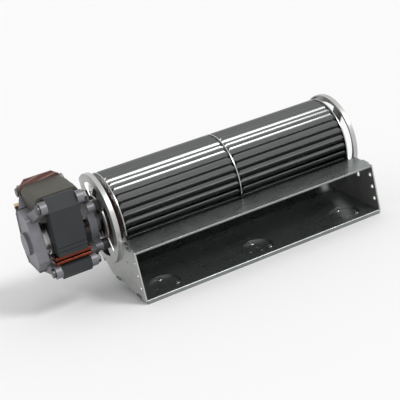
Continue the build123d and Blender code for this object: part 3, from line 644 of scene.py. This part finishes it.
def make_winding():
    """The wound coil under its tape: full in the middle, drawn in at the flanges."""
    low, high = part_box("coil_winding")
    ends = [upright(vertex.co) for vertex in frame["nodes"]["coil_winding"].data.vertices]
    y0, y1 = min(y for y, z in ends), max(y for y, z in ends)
    z0, z1 = min(z for y, z in ends), max(z for y, z in ends)
    mid_x, mid_z = (low.x + high.x) / 2, (z0 + z1) / 2
    half_x, half_z = (high.x - low.x) / 2, (z1 - z0) / 2
    corner, hollow, draw_in, slack = 4.2 * MM, 3.6 * MM, 0.55 * MM, 0.12 * MM
    steps, stations = 8, 15
    outline = []
    for quarter, (sx, sz) in enumerate(((1, 1), (-1, 1), (-1, -1), (1, -1))):
        for step in range(steps + 1):
            angle = (quarter + step / steps) * pi / 2
            outline.append((sx * (half_x - corner) + corner * cos(angle),
                            sz * (half_z - corner) + corner * sin(angle)))
    work = bmesh.new()
    loops = []
    for station in range(stations + 1):
        share = station / stations
        y = y0 + (y1 - y0) * share
        drawn = draw_in * (2 * share - 1) ** 4
        loop = []
        for number, (dx, dz) in enumerate(outline):
            wrinkle = noise.noise(Vector((number * 0.35, share * 5.0, 2.0))) * slack
            scale = 1 - (drawn + slack + wrinkle) / hypot(dx, dz)
            loop.append(work.verts.new(mounted(mid_x + dx * scale, y, mid_z + dz * scale)))
        loops.append(loop)
    for side_loop, y in ((loops[0], y0), (loops[-1], y1)):
        inner = []
        for dx, dz in outline:
            inner.append(work.verts.new(mounted(
                mid_x + dx * (1 - hollow / half_x), y, mid_z + dz * (1 - hollow / half_z))))
        walls(work, side_loop, inner)
        work.faces.new(inner)
    for near, far in zip(loops, loops[1:]):
        walls(work, near, far)
    piece("winding_in_tape", work, ["coil_winding"], "coil_tape", sharp=60.0)


def screw_spots():
    """Where the four through screws stand, upright about the axis."""
    points = [upright(vertex.co) for vertex in frame["nodes"]["motor_screws"].data.vertices]
    half_y = (max(y for y, z in points) - min(y for y, z in points)) / 2
    low, top = min(z for y, z in points), max(z for y, z in points)
    return [(y, z) for y in (SCREW_HEAD_R - half_y, half_y - SCREW_HEAD_R)
            for z in (low + SCREW_HEAD_R, top - SCREW_HEAD_R)]


def set_ears_down(work):
    """Brings the ears and all that stands on them near the stack, so that the arms slope."""
    off_stack = 1.0 * MM
    spots = screw_spots()
    for vertex in work.verts:
        y, z = upright(vertex.co)
        if min(hypot(y - spot_y, z - spot_z) for spot_y, spot_z in spots) > EAR_REACH:
            continue
        if vertex.co.x < STACK_X0 - off_stack:
            vertex.co.x += STACK_X0 - EAR_T - LEFT_EAR_FACE
        elif vertex.co.x > STACK_X1 + off_stack:
            vertex.co.x -= RIGHT_EAR_FACE - STACK_X1 - EAR_T


def prism(work, outline, x_near, x_far, hole=()):
    """A plate with an outline given upright about the axis, and with a hole where one is given."""
    rims = {x_near: [], x_far: []}
    for line in (outline, hole):
        near, far = (
            [work.verts.new(mounted(x, y, z)) for y, z in line] for x in (x_near, x_far))
        walls(work, near, far)
        if not hole:
            work.faces.new(near)
            work.faces.new(far)
            return
        for x, loop in ((x_near, near), (x_far, far)):
            rims[x] += [work.edges.get(pair) for pair in zip(loop, loop[1:] + loop[:1])]
    for rim in rims.values():
        bmesh.ops.triangle_fill(work, edges=rim, use_beauty=True)


def disc_outline(y, z, radius, steps=24):
    """The corners of a round outline about (y, z)."""
    return [(y + radius * cos(2 * pi * step / steps), z + radius * sin(2 * pi * step / steps))
            for step in range(steps)]


def bridge_arm(work, ear, root, x_body):
    """An arm that slopes from an ear on the stack out to the bridge's body."""
    run = Vector((root[0] - ear[0], root[1] - ear[1])).normalized()
    side = Vector((-run.y, run.x))
    loops = []
    for place, wide, x_near, x_far in (
            (ear, ARM_EAR_HALF, STACK_X0 - EAR_T + 0.3 * MM, STACK_X0 - 0.6 * MM),
            (root, ARM_ROOT_HALF, x_body[0] + 0.8 * MM, x_body[1] - 0.3 * MM)):
        corners = [(x_near, 1), (x_near, -1), (x_far, -1), (x_far, 1)]
        loops.append([
            work.verts.new(mounted(x, place[0] + side.x * wide * sign, place[1] + side.y * wide * sign))
            for x, sign in corners])
    for loop in loops:
        work.faces.new(loop)
    walls(work, *loops)


def make_outer_bridge():
    """The outer cast bridge: a deep faceted pan, bored for the bearing, on four sloping arms."""
    work = bmesh.new()
    boss_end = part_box("left_bracket")[0].x
    body = (boss_end + BOSS_PROUD, STACK_X0 - BRIDGE_GAP)
    seat, seat_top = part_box("left_motor_bearing")
    bore_r = (seat_top.z - seat.z) / 2
    pan = [(y * MM, z * MM) for y, z in BRIDGE_OUTLINE]
    prism(work, pan, *body, hole=disc_outline(0, 0, BOSS_R - 0.2 * MM, 32))
    lathe(work, [(boss_end + 0.05 * MM, BOSS_R), (body[1], BOSS_R), (body[1], bore_r), (seat.x, bore_r)])
    for y, z in screw_spots():
        prism(work, disc_outline(y, z, SCREW_EAR_R), STACK_X0 - EAR_T, STACK_X0)
        root = (ARM_ROOT_SIDE * (1 if y > 0 else -1), ARM_ROOT_TOP if z > 0 else ARM_ROOT_LOW)
        bridge_arm(work, (y, z), root, body)

    def outside_edge(first, second):
        off_boss = min(radius_of(first), radius_of(second)) > BOSS_R + 0.5 * MM
        return off_boss or max(first.x, second.x) < body[0] - 1 * MM

    round_edges(work, BRIDGE_ROUNDING, outside_edge)
    piece("left_bracket_finished", work, ["left_bracket"], SLOT_OF["left_bracket"])


def trim_front_flange(work):
    """Draws the bobbin's front end in behind the limb of the stack before it."""
    front = min(upright(vertex.co)[0] for vertex in work.verts)
    stack = frame["nodes"]["stator_stack"].data.vertices
    top = max(upright(vertex.co)[1] for vertex in stack) - FLANGE_DROP
    for vertex in work.verts:
        y, z = upright(vertex.co)
        if y < front + FLANGE_DEPTH:
            x = min(max(vertex.co.x, STACK_X0 + FLANGE_INSET), STACK_X1 - FLANGE_INSET)
            vertex.co = mounted(x, y, min(z, top))


def make_motor():
    softened("stator_stack", 0.18 * MM)
    softened("coil_core_bar", 0.18 * MM)
    softened("coil_bobbin", 0.35 * MM, reshape=trim_front_flange)
    softened("terminals", 0.15 * MM)
    softened("shading_rings", 0.55 * MM)
    softened("rotor", 0.3 * MM)
    make_outer_bridge()
    softened("right_bracket", 0.6 * MM, reshape=set_ears_down)
    for node in ("left_motor_bearing", "right_motor_bearing"):
        softened(node, 0.2 * MM)
    softened("motor_screws", 0.35 * MM, reshape=set_ears_down)
    softened("motor_nuts", 0.25 * MM, reshape=set_ears_down)
    softened("rubber_posts", 0.5 * MM)
    softened("post_screws", 0.3 * MM)
    make_winding()


# ======================================================================================
# Floor, light and camera
# ======================================================================================

FLOOR_HALF = 30.0
FLOOR_WHITE = 0.93
ROOM_LIGHT = 0.73          # strength of the room as it lights things
LAMP_ENERGY = 1.45
LAMP_SPREAD = radians(17)
LAMP_RISE = radians(135)   # of the lamp's direction, from +Y towards +Z
LAMP_TO_RIGHT = 0.366
CAMERA_PLACE = Vector((-0.2986, -0.6252, 0.2502))
CAMERA_AZIMUTH = radians(22.38)
CAMERA_ELEVATION = radians(16.13)
CAMERA_ROLL = radians(-13.38)
CAMERA_LENS = 95.2


def make_floor():
    """A pale table top, level with the lowest part of the housing."""
    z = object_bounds()[0].z
    mesh = bpy.data.meshes.new("table_top")
    mesh.from_pydata(
        [(sx * FLOOR_HALF, sy * FLOOR_HALF, z) for sx, sy in ((-1, -1), (1, -1), (1, 1), (-1, 1))],
        [], [(0, 1, 2, 3)])
    floor = bpy.data.objects.new("table_top", mesh)
    bpy.context.scene.collection.objects.link(floor)
    pale = bpy.data.materials.new("pale_table")
    pale.use_nodes = True
    shader = pale.node_tree.nodes["Principled BSDF"]
    shader.inputs["Base Color"].default_value = (FLOOR_WHITE, FLOOR_WHITE, FLOOR_WHITE, 1)
    shader.inputs["Roughness"].default_value = 0.9
    shader.inputs["Specular IOR Level"].default_value = 0.1
    mesh.materials.append(pale)


def make_world():
    """A white room to look at and in reflections, and a gentler one to light with."""
    world = bpy.data.worlds.new("white_room")
    bpy.context.scene.world = world
    world.use_nodes = True
    tree = world.node_tree
    background = tree.nodes["Background"]
    background.inputs["Color"].default_value = (1, 1, 1, 1)
    path = add(tree, "ShaderNodeLightPath")
    seen = calc(tree, "MAXIMUM", path.outputs["Is Camera Ray"], path.outputs["Is Glossy Ray"])
    seen = calc(tree, "MAXIMUM", seen, path.outputs["Is Transmission Ray"])
    strength = calc(tree, "MULTIPLY_ADD", seen, 1 - ROOM_LIGHT, ROOM_LIGHT)
    tree.links.new(strength, background.inputs["Strength"])


def make_sun():
    """A broad soft lamp, high in front on the right."""
    lamp = bpy.data.lights.new("soft_lamp", "SUN")
    lamp.energy = LAMP_ENERGY
    lamp.angle = LAMP_SPREAD
    holder = bpy.data.objects.new("soft_lamp", lamp)
    bpy.context.scene.collection.objects.link(holder)
    across = sqrt(1 - LAMP_TO_RIGHT ** 2)
    towards = Vector((LAMP_TO_RIGHT, across * cos(LAMP_RISE), across * sin(LAMP_RISE)))
    holder.rotation_euler = towards.to_track_quat("Z", "Y").to_euler()


def make_camera():
    data = bpy.data.cameras.new("camera")
    data.lens = CAMERA_LENS
    data.sensor_width = 36.0
    camera = bpy.data.objects.new("camera", data)
    bpy.context.scene.collection.objects.link(camera)
    forward = Vector((
        sin(CAMERA_AZIMUTH) * cos(CAMERA_ELEVATION), cos(CAMERA_AZIMUTH) * cos(CAMERA_ELEVATION),
        -sin(CAMERA_ELEVATION)))
    level = Vector((cos(CAMERA_AZIMUTH), -sin(CAMERA_AZIMUTH), 0))
    up = level.cross(forward)
    right = level * cos(CAMERA_ROLL) + up * sin(CAMERA_ROLL)
    above = up * cos(CAMERA_ROLL) - level * sin(CAMERA_ROLL)
    turned = Matrix((right, above, -forward)).transposed().to_4x4()
    camera.matrix_world = Matrix.Translation(CAMERA_PLACE) @ turned
    bpy.context.scene.camera = camera


make_wheel()
make_end_plates()
make_sheets()
make_hole_collars()
make_far_bearing()
make_motor()
make_floor()
make_world()
make_sun()
make_camera()
bpy.context.scene.view_settings.view_transform = "Standard"
